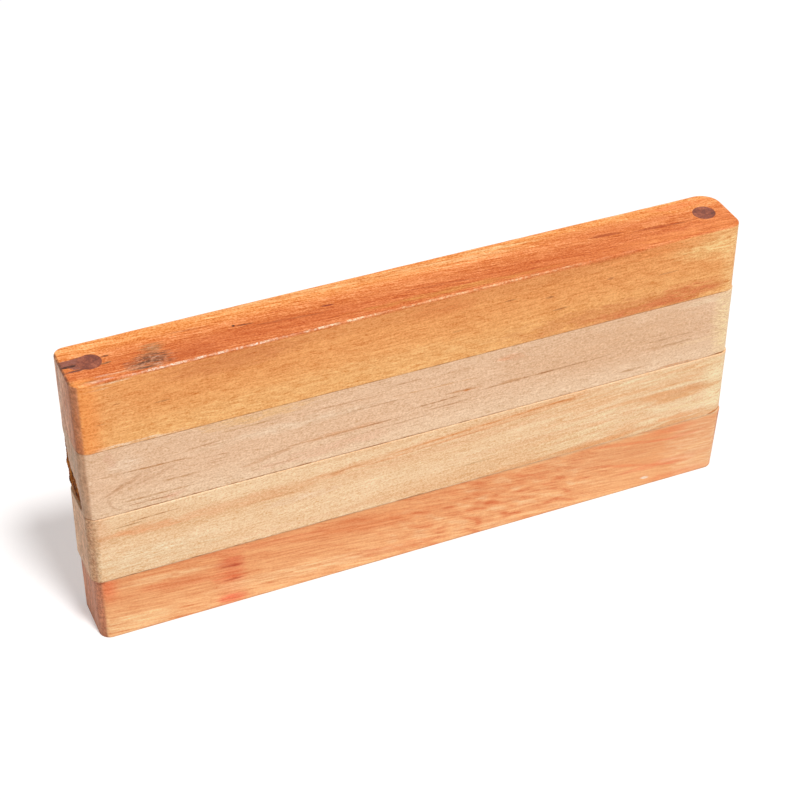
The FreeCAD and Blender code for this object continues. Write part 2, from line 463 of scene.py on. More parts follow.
def barSurface(bar):
    # one sheet from the underside's middle line, out and round the sides, to the top's middle line, every
    # row being the outline moved inwards by its rim and by a slight unevenness, and a tube through each bore
    seed = bar["seed"]
    height = bar["height"]
    plan = walkOutline(bar, np.zeros((1, 1)))
    slow, quick = wear["rimWaves"]
    rimWave = wear["rimSwing"] * lattice(plan[0], plan[1], 0, slow, seed)
    rimWave = wear["rimLeast"] + rimWave * lattice(plan[0], plan[1], 3, quick, seed + 9)
    topRim = bar["topRim"] * bar.get("rimShape", lambda x, y: 1.0)(plan[0], plan[1]) * rimWave
    bottomRim = bar["bottomRim"] * rimWave
    topInset, topDrop = rimRows(topRim, topRimRows, True)
    bottomInset, bottomDrop = rimRows(bottomRim, bottomRimRows, False)
    shares = np.concatenate([[0, 0.012], np.linspace(0.03, 0.97, sideRows), [0.988, 1]])[1:-1, None]
    sideHeight = bottomRim + (height - topRim - bottomRim) * shares
    insets = np.vstack([bottomInset, 0 * sideHeight, topInset])
    heights = np.vstack([bottomDrop, sideHeight, height - topDrop])
    x, y, nx, ny = walkOutline(bar, heights.mean(axis=1, keepdims=True))
    uneven = wear["slowDepth"] * lattice(x, y, heights, wear["slowWave"], seed + 20)
    uneven = uneven + wear["quickDepth"] * lattice(x, y, heights, wear["quickWave"], seed + 30)
    inward = smoothStep(np.minimum(heights, height - heights), 0.1, wear["rimReach"])
    insets = insets + uneven * (wear["atRim"] + (1 - wear["atRim"]) * inward)
    insets = insets + bar.get("hollow", lambda *p: 0.0)(x, y, heights)
    x = x - nx * insets
    y = y - ny * insets
    if bar["relieved"]:
        end = halfSpacing + max(bar["rightFoot"], bar["rightHead"])
        lift = reliefHeight * np.clip((x - end) / reliefLength + 1, 0, 1)
        heights = heights + lift * np.clip(1 - heights / reliefLength, 0, 1)

    tops = [turningBore if bar["seat"] == side else gluedBore for side in ("left", "right")]
    bottoms = [seatRadius if top == turningBore else top for top in tops]
    flat = np.concatenate([np.linspace(0, 0.9, flatRows), [0.96, 0.985]])[:, None]
    sheet = []
    loops = (innerLoop(x[:1], y[:1], *bottoms), innerLoop(x[-1:], y[-1:], *tops))
    for edge, under, over in zip((x, y), *loops):
        below = under + (edge[:1] - under) * flat
        above = over + (edge[-1:] - over) * flat[::-1]
        sheet.append(np.vstack([below, edge, above]))
    sheet.append(np.vstack([heights[:1] * flat ** 6, heights, heights[-1:] + 0 * above]) + bar["level"])
    sheet = np.stack(sheet, -1)
    points = [sheet.reshape(-1, 3)]
    faces = [gridFaces(*sheet.shape[:2], closed=True)]

    for centre, low, high in zip((-halfSpacing, halfSpacing), bottoms, tops):
        x, y = sheet[0, :, 0] - centre, sheet[0, :, 1]
        onBore = np.hypot(x, y) < low + 1e-4
        start = np.argmin(np.where(onBore, 0, 1)) if centre > 0 else int(np.flatnonzero(~onBore)[-1]) + 1
        ring = np.roll(np.arange(len(x)), -start)[:int(onBore.sum())]
        tube = [sheet[0, ring], sheet[-1, ring]]
        if low > high:
            turn = np.arctan2(y[ring], x[ring])
            across = [(centre + radius * np.cos(turn), radius * np.sin(turn)) for radius in (low, high)]
            tube[1:1] = [np.stack([*pair, 0 * turn + seatDepth + bar["level"]], -1) for pair in across]
        first = sum(len(p) for p in points)
        points.append(np.concatenate(tube))
        faces.append(gridFaces(len(tube), len(ring), first=first)[:, ::-1])
    return np.concatenate(points), np.concatenate(faces)


def makeBar(bar, name, material):
    points, faces = barSurface(bar)
    piece = makePiece(name, points, faces, bar["body"], bar["slot"], material)
    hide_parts(bar["node"])
    print(name, len(piece.data.polygons), "faces")


def barkSurface():
    # rings side by side along the skin: each goes up the outside, which is the skin + n * offset with
    # the offset made of a crown and leaning fibres, and comes back down inside the bar
    seed = bark["seed"]
    first = bark["along"][0] + bark["startInset"]
    last = bark["along"][-1]
    along = np.linspace(first, last, bark["columns"])[:, None]
    share = (0.5 - 0.5 * np.cos(np.linspace(0, np.pi, bark["rows"])))[None, :]
    low = np.interp(along, bark["along"], bark["lower"])
    high = np.interp(along, bark["along"], bark["upper"])
    frayed = bark["fray"] * (lattice(along, 0, 0, 1.1, seed) - 0.55) * smoothStep(high, 1, 5)
    high = np.maximum(high + frayed, low + 0.3)
    taper = np.clip(np.minimum(along - first, last - along) / bark["taperLength"], 0, 1) ** 0.5
    rise = low + (high - low) * (0.5 + (share - 0.5) * taper)
    across = rise + 1.3 * along
    lengthwise = 0.77 * along - rise
    ridge = lattice(across, lengthwise * 0.16, 0, 0.75, seed + 1)
    fibre = lattice(across, lengthwise * 0.3, 5, 0.28, seed + 2)
    crown = (4 * share * (1 - share)) ** 0.4
    bump = bark["bump"] * np.exp(-((along - 3.2) / 1.5) ** 2 - ((rise - 1.8) / 1.4) ** 2)
    outer = crown * (0.62 + 0.62 * (ridge - 0.5) + 0.3 * (fibre - 0.5) + bump * 1.6)
    outer = np.minimum(0.1 + outer, 1 + bark["proud"] + bump)
    offsets = np.hstack([outer - 1, 0 * outer[:, ::-1] - 1.25]) * bark["depth"]
    offsets = -0.9 + (offsets + 0.9) * taper
    rises = np.hstack([rise, rise[:, ::-1]])
    cx, cy = backCorner()
    reach = cornerRadius + offsets
    angle = np.clip(along / cornerRadius, 0, np.pi / 2)
    x = cx + np.maximum(-along, 0) - reach * np.sin(angle)
    y = cy - np.maximum(along - cornerRadius * np.pi / 2, 0) + reach * np.cos(angle)
    x = np.maximum(x, cadBox[0][0] / mm + 0.01)
    y = np.minimum(y, cy + cornerRadius)
    points = np.stack([x, y, rises + upperBar["level"]], -1).reshape(-1, 3)
    return points, gridFaces(*rises.shape, closed=True)


# what the four woods share; marks thinner than thinMark, in mm, are broken into dashes
crestTint = "5E3826"
# the colour of the painted shade in the joints between bars, with some dirt in it
seamShadeTint = "A4622F"
endShare = 0.95
thinMark = 0.45
stretch = 300.0


class Timber(Finish):
    # a bar's wood: a solid figure that runs along x, so every face and both ends show the same board,
    # each bar being cut from its own stretch of the figure

    def __init__(self, name, bar, grain):
        super().__init__(name)
        self.bar = bar
        self.grain = grain
        self.frontFace = -bar["frontMargin"]
        self.low = bar["level"]
        self.topFace = bar["level"] + bar["height"]
        self.leftFace = -halfSpacing - bar["leftFoot"]
        self.rightFace = halfSpacing + bar["rightFoot"]
        slow = self.noise(self.vector(self.x * 0.02, self.y * 0.06, self.z * 0.06), detail=1.0)
        quick = self.noise(self.vector(self.x * 0.13, self.y * 0.2, self.z * 0.28), detail=1.0)
        wander = (slow - 0.5).timesPlus(grain["wander"], (quick - 0.5) * grain["ripple"])
        self.across = self.x.timesPlus(grain["fallFront"], self.z) + wander
        self.inwards = self.x.timesPlus(grain["fallTop"], self.y) + wander
        self.lengths = self.x + stretch * (bar["seed"] - 1)
        self.onFront = self.y.step(self.frontFace + 3.0, self.frontFace + 1.2)
        edgeDepth = self.x.step(25, 45, 0.9, 1.5) - self.x.step(45, 62, 0, 0.9)
        self.onTop = ((self.z - self.topFace) / edgeDepth).step(-1, -0.2)
        self.band = self.fibre(0.02, grain["bandWidth"], detail=1.5)
        self.streak = self.fibre(grain["linePitch"] * 0.6, grain["streakWidth"], roughness=0.6, offset=40)
        self.line = self.fibre(grain["linePitch"], 2.5, detail=1.0, roughness=0.6, offset=500)
        self.fine = self.fibre(grain["finePitch"], 2.8, detail=1.5, roughness=0.6, offset=90)
        self.speck = self.fibre(2.2, 3.9, detail=1.0, roughness=0.7, offset=220)
        self.tear = self.fibre(0.22, 1.5, roughness=0.6, offset=10)
        self.pore = self.fibre(0.8, 3.2, detail=0.0, offset=150).step(0.66, 0.77)
        self.grit = self.noise(self.point, scale=1.9, detail=3.0, roughness=0.75)
        self.thread = self.fine.step(0.36, 0.6)
        self.dash = self.fibre(0.4, 0.9, offset=310).step(0.36, 0.58)

    def fibre(self, along, across, detail=2.0, roughness=0.5, offset=0.0):
        # noise drawn out along the grain: features about 1/along long and 1/across wide, in mm
        vector = self.vector((self.lengths + offset) * along, self.inwards * across, self.across * across)
        return self.noise(vector, detail=detail, roughness=roughness)

    def spot(self, along, across, place, size, tilt=0.0, ragged=0.6, soft=0.9):
        # an ellipse with soft, torn edges: one in the middle, nought outside
        u = along.timesPlus(1 / size[0], -place[0] / size[0])
        v = across.timesPlus(1 / size[1], -place[1] / size[1])
        if tilt:
            v = u.timesPlus(-tilt * size[0] / size[1], v)
        reach = u.timesPlus(u, v * v)
        if ragged:
            reach = self.tear.timesPlus(ragged * 4, reach - ragged * 2)
        return reach.step(1 + soft * 0.6, 1 - soft)

    def paint(self, colour, marks, across, gate):
        # lays each mark over the colour: broad ones are made of threads and thin ones of dashes
        for place, level, length, width, code, strength, *more in marks:
            broken = self.dash if width < thinMark else self.thread
            share = self.spot(self.x, across, (place, level), (length, width), *more) * gate
            colour = self.mix(share * broken.timesPlus(0.6 * strength, 0.5 * strength), colour, code)
        return colour

    def flecks(self, colour, mask, dark, pale, source):
        # torn grain: dark and pale flecks side by side where the mask is up
        colour = self.mix(source.step(0.53, 0.38) * mask, colour, dark)
        return self.mix(source.step(0.52, 0.66) * mask, colour, pale)

    def tone(self):
        # how far the fine figure is darker, below nought, or paler, above it
        grain = self.grain
        total = (self.band - 0.5) * grain["bandShare"]
        for name in ("streak", "line", "fine", "speck"):
            total = (getattr(self, name) - 0.5).timesPlus(grain[name + "Share"], total)
        return (total - self.pore * grain["poreShare"]) * self.x.step(38, 62, 1.0, grain["calm"])

    def deepen(self, colour, amount, depth):
        # colour * (1 + amount * depth), channel by channel: dark wood is more orange, pale wood whiter
        return colour.times(amount.spreadPlus(depth, (1, 1, 1)))

    def edge(self):
        # how far a point on the skin is from its nearest edge, which is the middle one of its
        # distances to the three pairs of faces
        length = self.rightFace - self.leftFace
        height = self.topFace - self.low
        a = length / 2 - abs(self.x - (self.leftFace + length / 2))
        b = barDepth / 2 - abs(self.y - (self.frontFace + barDepth / 2))
        c = height / 2 - abs(self.z - (self.low + height / 2))
        return a.least(b).most(a.most(b).least(c))

    def endGrain(self, end):
        # sawn across: upright streaks of two tones, a greyer one between them, browner towards the front, and
        # darker towards the foot as painted shade where the floor shades the end
        upright = self.vector(self.x * 0.2, self.y * 0.8, self.y.timesPlus(0.12, self.z * 0.16))
        rings = self.noise(upright, detail=3.0, roughness=0.65)
        cut = self.noise(self.vector(self.x * 0.9, self.y * 1.3, self.z * 1.3), detail=3.0, roughness=0.8)
        grey = self.noise(self.vector(self.x * 0.2, self.y * 0.5 + 30, self.z * 0.1), detail=1.0)
        colour = self.mix(rings.step(0.34, 0.66), end["deep"], end["pale"])
        colour = self.mix(grey.step(0.5, 0.72) * 0.5, colour, end["grey"])
        brown = self.y.step(3, self.frontFace + 1.5)
        colour = self.mix(brown * end["frontShare"], colour, end["front"])
        # painted shade: the lower part of each end is darkened where the floor shades it
        foot = self.z.step(self.low + 0.35 * self.bar["height"], self.low)
        colour = self.mix(foot * end["footShare"], colour, end["foot"])
        return self.deepen(colour, cut - 0.5, end["depth"]), cut

    def finishWood(self, colour, end):
        # a tinted fringe by the left end, end grain, a torn front left corner, edges paler from wear and a
        # painted highlight, a dark crest over the left end, painted shade with some dirt along the seam, and
        # pores slightly sunk
        grain = self.grain
        rim = self.bar["topRim"]
        low = self.low
        fringe = self.x.step(self.leftFace + end["fringeReach"], self.leftFace + 2.2) * self.onFront
        fringe = fringe * self.z.step(low + end["fringeFrom"][0], low + end["fringeFrom"][1])
        colour = self.mix(fringe * end["fringeShare"], colour, end["fringe"])
        colour = self.deepen(colour, self.tone(), grain["depth"])
        leftEnd = self.x.step(self.leftFace + 2.1, self.leftFace + 0.5)
        rightEnd = self.x.step(self.rightFace - 1.0, self.rightFace - 0.1)
        ends = leftEnd.most(rightEnd) * self.z.step(self.topFace - 0.1 * rim, self.topFace - 0.5 * rim)
        endColour, cut = self.endGrain(end)
        torn = (ends - 0.5 + (self.grit - 0.5) * 0.9).step(-0.3, 0.3) * endShare
        colour = self.mix(torn, colour, endColour)
        ragged = self.x + (self.grit - 0.5) * 1.6
        reach = self.z.step(low, self.topFace, *end["reach"]) + self.leftFace
        corner = (ragged - reach).step(end["soft"], -end["soft"])
        corner = corner * self.y.step(self.frontFace + 3.2, self.frontFace + 1.8)
        colour = self.mix(corner * end["brown"], colour, end["dark"])
        colour = self.flecks(colour, corner * end["torn"], end["dark"], end["light"], self.grit)
        # edges paler: partly wear, partly a painted highlight that brightens the rims and the grooves between
        # them
        rubbedHighlight = self.tear.timesPlus(0.9, self.edge()).step(0.95, 0.4)
        colour = self.mix(rubbedHighlight * grain["rubHighlight"], colour, grain["rubHighlightTint"])
        crest = (self.x - self.leftFace + (self.topFace - self.z)).step(0.6, 0.25)
        crest = crest * self.tear.step(0.3, 0.6, 0.5, 1.0)
        colour = self.mix(crest * end["crest"], colour, crestTint)
        # painted shade: a dark line along each bar's lower edge where the joint and the floor shade it,
        # partly dirt
        seamShade = self.z.step(low + grain["seamRise"], low + 0.12) * self.tear.step(0.4, 0.6, 0.25, 1.0)
        seamShade = seamShade * self.x.step(-15, 50, 1.0, grain["seamFade"])
        colour = self.mix(seamShade * grain["seamShade"], colour, seamShadeTint)
        height = self.fine * 0.6 + self.speck * 0.35 - self.pore * 0.6 + self.line * 0.3 + cut * (ends * 1.2)
        height = height + self.grit * (corner * 1.5)
        normal = self.bump(height, 0.6, 0.08)
        roughness = self.fine.step(0.25, 0.75, 0.48, 0.62) + self.pore * 0.12
        return self.close(colour, roughness, normal)


# what most of the woods share, then one grain and one end for each
plainGrain = {
    "wander": 2.5,
    "fallTop": 0.02,
    "bandWidth": 0.16,
    "streakWidth": 0.5,
    "finePitch": 0.2,
    "calm": 1.0,
    "seamShade": 0.95,
    "seamFade": 1.0,
    "seamRise": 0.38,
    "rubHighlight": 0.12,
}

plainEnd = {
    "frontShare": 0.4,
    # painted shade at the foot of an end, left off unless a wood turns it up
    "foot": "96583E",
    "footShare": 0.0,
    "crest": 0.2,
    "fringeReach": 6.0,
    "fringeFrom": (-4, -1),
    "soft": 0.7,
    "depth": (1.8, 1.9, 2.1),
}

orangeGrain = {
    **plainGrain,
    "ripple": 0.8,
    "fallFront": 0.015,
    "fallTop": 0.085,
    "streakWidth": 0.7,
    "linePitch": 0.06,
    "finePitch": 0.22,
    "bandShare": 0.14,
    "streakShare": 0.35,
    "lineShare": 0.5,
    "fineShare": 0.95,
    "speckShare": 1.2,
    "poreShare": 0.14,
    "depth": (0.5, 1.0, 1.6),
    "seamShade": 0.6,
    "seamRise": 0.3,
    "rubHighlightTint": "F6D0A8",
}

orangeEnd = {
    **plainEnd,
    "deep": "C87C58",
    "pale": "FFCCA8",
    "grey": "C9B2A6",
    "front": "CC7844",
    "frontShare": 0.8,
    "dark": "98542C",
    "light": "E08A4C",
    "brown": 0.4,
    "crest": 0.85,
    "fringe": "FFA254",
    "fringeShare": 0.8,
    "fringeReach": 7.0,
    "torn": 0.5,
    "reach": (0.6, 0.85),
    "soft": 0.9,
    "depth": (2.0, 2.3, 2.5),
}

# each mark: place and half size in mm, both along x first, its colour and strength, then its tilt,
# raggedness and softness where they aren't the usual ones
orangeFront = [
    (5, 65.6, 60, 2.2, "DE8A4C", 0.4, 0.0, 0.4),
    (-42, 64.6, 15, 2.6, "D0713A", 0.5, 0.0, 0.5),
    (4, 64.6, 8, 2.2, "DD7636", 0.45, 0.0, 0.5),
    (70, 64.4, 11, 4.4, "FFD08A", 0.9, 0.0, 0.4, 1.3),
    # painted highlight: a pale patch over the rounded right front corner
    (74, 58, 3.4, 12, "FFC884", 0.7, 0.0, 0.5, 1.4),
    (44, 52.4, 26, 2.6, "D87C42", 0.6, 0.0, 0.9),
    (63, 52.8, 8.5, 2.4, "E0753E", 0.6, 0.03, 0.9, 1.3),
    (-20, 53, 48, 3.4, "F6B874", 0.5, 0.0, 0.5),
    (-68, 57, 5, 7, "FBB26C", 0.5, 0.0, 0.5),
    (-68, 66.5, 5.5, 0.22, "FFDCB4", 0.7, 0.0, 0.9),
    (-70, 65.5, 3.2, 0.2, "FFD2A2", 0.5, 0.0, 0.9),
    (-64, 50.6, 12, 0.5, "F6E0C8", 0.45, 0.0, 0.7),
    (-71.5, 58.9, 0.9, 0.22, "92471C", 0.6),
    (-70.2, 57, 1.2, 0.22, "92471C", 0.6),
    (-66.4, 61, 0.9, 0.22, "9C4E20", 0.6),
    (-57, 59, 1.6, 0.22, "B06A34", 0.6),
    (28.5, 60.6, 1, 0.26, "A8622F", 0.7),
    (31.2, 56.9, 1.8, 0.22, "B06A34", 0.6),
    (43, 61.5, 0.9, 0.3, "B86432", 0.6),
    (19.6, 62.3, 1.6, 0.22, "B06A34", 0.6),
    (7.4, 57.8, 1.3, 0.2, "B06A34", 0.6),
    (57, 59.2, 2.8, 0.24, "C47A44", 0.6),
    (58, 65.6, 16, 1.6, "F2944E", 0.7, 0.0, 0.8, 1.3),
    (50, 51.5, 14, 1.1, "DC7440", 0.6, 0.0, 0.9, 1.2),
    (-72.8, 59, 2.6, 10, "F08E48", 0.75, 0.0, 0.6, 1.4),
]

orangeTop = [
    (12, 4.4, 15, 0.7, "FFC488", 0.55, -0.085),
    (-20, 5.6, 30, 0.9, "FFBC7C", 0.5, -0.05),
    (-30, -3, 24, 2.4, "D0662F", 0.4, -0.05, 0.9),
    (45, 2.6, 17, 1.9, "E27C44", 0.5, -0.06, 0.7),
    (-56.6, -0.6, 2.6, 1.7, "BC7C4A", 0.8, 0.1, 0.9, 1.2),
    (-58, -4.3, 4.6, 2.3, "9C6442", 1.2, 0.05, 0.9, 1.2),
    (-70.9, 0.3, 2.7, 2.1, "985B4A", 1.8, 0.0, 0.3, 0.4),
    (-73.5, 0.9, 4.6, 1.15, "985B4A", 1.8, 0.0, 0.25, 0.3),
    (-73.5, -0.1, 1.5, 0.4, "4A261A", 1.5, 0.0, 0.5, 0.4),
    (-71.9, -1.9, 3.6, 0.3, "7C4432", 1.3, 0.02, 0.4, 0.5),
    (-65.9, 0.7, 0.9, 0.26, "603A22", 0.9, 0.0, 0.2, 0.5),
    (-66.3, -1.6, 1.3, 0.3, "6A4A2A", 0.9, 0.05, 0.2, 0.5),
    (-39.1, 0.35, 0.35, 0.28, "35180E", 1.0, 0.0, 0.0, 0.5),
    (-36.8, -0.1, 1.9, 0.24, "7C3C20", 0.8, -0.08, 0.3),
    (-19.1, -0.4, 1.5, 0.3, "9A3E1C", 1.1, -0.1, 0.3),
    (45.3, 0.45, 4.2, 0.5, "B4501E", 1.2, -0.1, 0.4),
    (56.6, -1.05, 4.8, 0.5, "BE5A26", 1.1, -0.08, 0.4),
    (63.5, -1.6, 3.4, 0.3, "B5622F", 0.6, -0.04, 0.4),
    (-28, -1.8, 7, 0.3, "B25A2A", 0.6, -0.09),
    (5, -2.6, 9, 0.3, "B85E2E", 0.5, -0.09),
    (-48, 2.6, 6, 0.3, "B85E2E", 0.5, -0.07),
    (62, -4.6, 6, 1.4, "F08657", 0.4, -0.05),
    (-71.6, -6.3, 2, 0.26, "5A423C", 1.4, 0.0, 0.8),
    (-69.2, -6.75, 3.4, 0.26, "FFE2CC", 0.8, 0.0, 0.9),
    (-68.2, -5.4, 1.8, 0.22, "FBDCC6", 0.6, 0.0, 0.9),
    (-64, -5.6, 5, 0.22, "FFD2A4", 0.5, 0.0, 0.9),
    (-49, -4.8, 6, 2, "C45E2B", 0.7, 0.0, 0.9, 1.2),
    (8, -5.4, 24, 0.9, "CE8A38", 0.5, -0.02, 0.9),
    (40, -5.6, 19, 1.5, "DC7636", 0.6, 0.0, 0.8, 1.3),
    (22, 5.2, 10, 0.5, "FFD092", 0.7, -0.07),
    (66, 4.6, 9, 1, "F98750", 0.6, -0.03, 0.8),
    (62, -5.6, 14, 2, "F2924E", 0.7, -0.02, 0.8, 1.3),
    (70, -2.5, 6, 4, "F89452", 0.5, 0.0, 0.8, 1.3),
]

# the top face's colours from the back to the front
topStops = [(0.0, "FAA056"), (0.45, "EF8C4B"), (0.75, "E48141"), (1.0, "DE783B")]


def orangeWood():
    wood = Timber("orangeWood", topBar, orangeGrain)
    top = wood.topFace
    lowered = wood.z.step(top - 5, top - 17) * wood.onFront
    colour = wood.mix(lowered, "F3A25C", "FAB66E")
    colour = wood.paint(colour, orangeFront, wood.z, wood.onFront)
    ramped = wood.ramp(wood.y.step(5.5, -3.0), topStops)
    # the planed top shows the same figure more strongly
    extra = wood.line.timesPlus(0.6, wood.speck * 0.95) + wood.fine * 0.9
    ramped = wood.deepen(ramped, wood.streak.timesPlus(0.4, extra) - 1.425, (0.4, 1.1, 2.6))
    colour = wood.mix(wood.onTop, colour, ramped)
    colour = wood.paint(colour, orangeTop, wood.y, wood.onTop)
    # a grey, torn knot near the left end
    knot = wood.spot(wood.x, wood.y, (-57.9, -4.2), (4.5, 2.5), 0.05, 0.9, 1.1)
    knot = knot.most(wood.spot(wood.x, wood.y, (-56.6, -0.7), (2.2, 1.3), 0.1, 0.9, 1.1) * 0.5)
    torn = wood.fibre(0.75, 2.0, roughness=0.75, offset=70)
    colour = wood.flecks(colour, knot * wood.onTop * 0.85, "5C3624", "DEA688", torn)
    # the front edge has a thin, broken, pale line: partly wear, partly a painted highlight
    fromEdge = (wood.y - wood.frontFace) + (top - wood.z)
    wornHighlight = fromEdge.step(0.42, 0.26) * wood.x.step(-67, -58) * wood.x.step(46, 28)
    wornHighlight = wornHighlight * wood.x.step(5, -25, 0.5, 1.0)
    wornHighlight = wornHighlight * wood.fibre(0.45, 0.5, roughness=0.7, offset=33).step(0.4, 0.58, 0.1, 1.0)
    wornHighlight = wornHighlight * wood.grit.step(0.4, 0.54)
    pale = wood.mix(wood.x.step(-40, 0), "FCE0C6", "FBDDA6")
    colour = wood.mix(wornHighlight * 0.9, colour, pale)
    return wood.finishWood(colour, orangeEnd)


beigeGrain = {
    **plainGrain,
    "ripple": 2.2,
    "fallFront": 0.0,
    "bandWidth": 0.14,
    "linePitch": 0.07,
    "bandShare": 0.1,
    "streakShare": 0.15,
    "lineShare": 0.2,
    "fineShare": 0.55,
    "speckShare": 1.1,
    "poreShare": 0.1,
    "calm": 0.9,
    "depth": (0.6, 0.9, 1.25),
    "seamFade": 0.4,
    "rubHighlightTint": "F6DDBE",
}

beigeEnd = {
    **plainEnd,
    "deep": "BE8C66",
    "pale": "E8BC98",
    "grey": "C8B8A0",
    "front": "CC9874",
    "dark": "A87A58",
    "light": "E2BE98",
    "brown": 0.2,
    "crest": 0.0,
    "fringe": "E8BC9C",
    "fringeShare": 0.15,
    "torn": 0.25,
    "reach": (1.0, 1.0),
}

beigeFront = [
    (-37, 49.4, 12, 1.7, "F6C07C", 0.6, 0.0, 0.9, 1.2),
    (45, 44, 26, 6, "E6B488", 0.6, 0.0, 0.6, 1.1),
    # painted highlight: a pale patch over the rounded right front corner
    (74, 42, 3.8, 12, "FFDFAC", 1.0, 0.0, 0.5, 1.3),
    (-61, 43.3, 9.6, 0.2, "C0824A", 0.85, -0.025, 0.5),
    (-49.5, 45.2, 3.4, 0.18, "C88E60", 0.7, 0.03),
    (-46.5, 41.8, 3, 0.18, "C88E60", 0.7, -0.05),
    (-47.2, 40.2, 2.4, 0.18, "C88E60", 0.7, -0.05),
    (-53.5, 38.7, 5.4, 0.2, "C2864E", 0.75, -0.02, 0.5),
    (-60, 35.9, 7.4, 0.2, "C2864E", 0.8, -0.01, 0.5),
    (-60.5, 34.6, 6.4, 0.18, "C88E60", 0.8, -0.02),
    (-56.5, 34.7, 2.4, 0.7, "EEB18E", 0.6, 0.0, 0.9, 1.2),
    (-35.5, 37.8, 6.4, 0.5, "D49A6C", 0.6, 0.15, 0.9, 1.1),
    (-66, 40.5, 4.6, 0.5, "CC9468", 0.7, 0.42, 0.9, 1.1),
    (-59.5, 41, 5, 0.45, "D6A47C", 0.6, 0.32, 0.9, 1.1),
    (-69.3, 48.6, 0.9, 1.8, "E0A886", 0.6, 0.0, 0.9, 1.2),
    (-68.4, 46.6, 1, 1.2, "E0A886", 0.6, 0.2, 0.9, 1.2),
    (-17, 39.1, 16, 0.2, "C0804E", 0.75, 0.0, 0.5),
    (-19, 39.3, 9.5, 0.7, "DFA06E", 0.6, 0.0, 0.8, 1.1),
    (-8, 37.6, 10, 0.18, "C88E60", 0.6, 0.02, 0.7),
    (-20, 46.6, 10, 0.18, "C88E60", 0.6, -0.02, 0.7),
    (-12, 43.9, 7, 0.18, "C88E60", 0.6),
    (-38, 47.2, 8, 0.18, "D09A66", 0.7),
    (-4, 47.8, 4, 0.18, "C88E60", 0.6),
    (-34, 35.4, 9, 0.18, "C88E60", 0.5, 0.01, 0.7),
    (9.6, 41.7, 1.1, 0.32, "E2842E", 0.9, -0.03, 0.4),
    (9.2, 41.8, 4.6, 0.3, "CE8A52", 0.8, -0.02),
    (3.4, 40.6, 5.2, 0.2, "C08452", 0.8, 0.02),
    (28.5, 40.9, 17, 0.2, "BC7E4A", 0.8, 0.01, 0.5),
    (20.3, 41, 2.6, 0.45, "CE9058", 0.6),
    (4.8, 39, 5.2, 0.18, "C88E60", 0.8),
    (4, 44.6, 9, 0.18, "DCA068", 0.6, -0.03, 0.7),
    (58, 39.4, 5, 0.5, "D09A6C", 0.6, -0.02, 0.8, 1.1),
    (50, 35.2, 5, 0.4, "D09A6C", 0.5, 0.02, 0.8, 1.1),
    (20, 47.4, 3, 0.9, "EDA678", 0.6, -0.1, 0.9, 1.2),
    (-22, 36, 16, 1.4, "EFBC98", 0.6, 0.03, 0.9, 1.2),
    (-30, 44.5, 18, 1.2, "F8D9B8", 0.6, 0.0, 0.9, 1.2),
    (-66, 45.5, 3.4, 3, "F9DDC0", 0.35, 0.0, 0.9, 1.2),
    (61.6, 39.5, 4.2, 0.22, "C08C5A", 0.5),
    (59, 41.4, 6, 0.24, "C08A5C", 0.5),
    (48.8, 35.3, 3.6, 0.2, "C08C5A", 0.45, -0.01, 0.5),
    (65, 38.5, 7, 0.6, "F6CFA4", 0.6, 0.0, 0.8, 1.1),
    (66.5, 48.9, 5.5, 0.7, "FADAB4", 0.6, 0.0, 0.8, 1.1),
    (61.5, 33.6, 5.4, 0.25, "D68A50", 0.7),
    (72.2, 33.4, 1.7, 0.2, "A8642C", 1.1, 0.0, 0.2),
]

beigeArch = {
    "tip": 70.2,
    "level": 37.2,
    "bend": 0.27,
    "tint": "C48C62",
    # start, width, strength, and whether it runs below the tip's level too
    "lines": ((0.0, 0.7, 0.35, True), (3.8, 0.6, 0.35, False), (7.2, 0.6, 0.25, False)),
}


def beigeWood():
    wood = Timber("beigeWood", upperBar, beigeGrain)
    low = wood.z.step(wood.topFace - 9, wood.topFace - 17)
    colour = wood.mix(low, "F1C6A0", "F5D0AB")
    colour = wood.paint(colour, beigeFront, wood.z, wood.onFront)
    # the arch: nested parabolas x = start - tip + bend * (z - level)^2, torn lines that fade along the bar
    rise = wood.z - beigeArch["level"]
    arch = (wood.x + beigeArch["tip"]) - rise * rise * beigeArch["bend"] + (wood.tear - 0.5) * 2.4
    above = wood.z.step(37.8, 39.6)
    for start, width, strength, whole in beigeArch["lines"]:
        line = abs(arch - start).step(width, width * 0.1) * wood.x.step(-52, -62) * wood.onFront
        line = line * (1.0 if whole else above) * wood.z.step(44.5, 43.0)
        share = line * wood.thread.timesPlus(0.7 * strength, 0.4 * strength)
        colour = wood.mix(share, colour, beigeArch["tint"])
    return wood.finishWood(colour, beigeEnd)


creamGrain = {
    **plainGrain,
    "ripple": 1.2,
    "fallFront": -0.03,
    "linePitch": 0.05,
    "bandShare": 0.15,
    "streakShare": 0.2,
    "lineShare": 0.25,
    "fineShare": 0.6,
    "speckShare": 1.15,
    "poreShare": 0.08,
    "calm": 0.8,
    "depth": (0.45, 0.9, 1.4),
    "seamFade": 0.15,
    "rubHighlight": 0.2,
    "rubHighlightTint": "FBE6C4",
}

creamEnd = {
    **plainEnd,
    "deep": "D49C72",
    "pale": "F8C8A0",
    "grey": "D2BCA8",
    "front": "D89C70",
    "dark": "9A6236",
    "light": "F0CFA0",
    "brown": 0.22,
    "fringe": "EDB184",
    "fringeShare": 0.55,
    "fringeFrom": (6, 13),
    "torn": 0.55,
    "reach": (1.8, 2.1),
    "soft": 0.6,
}

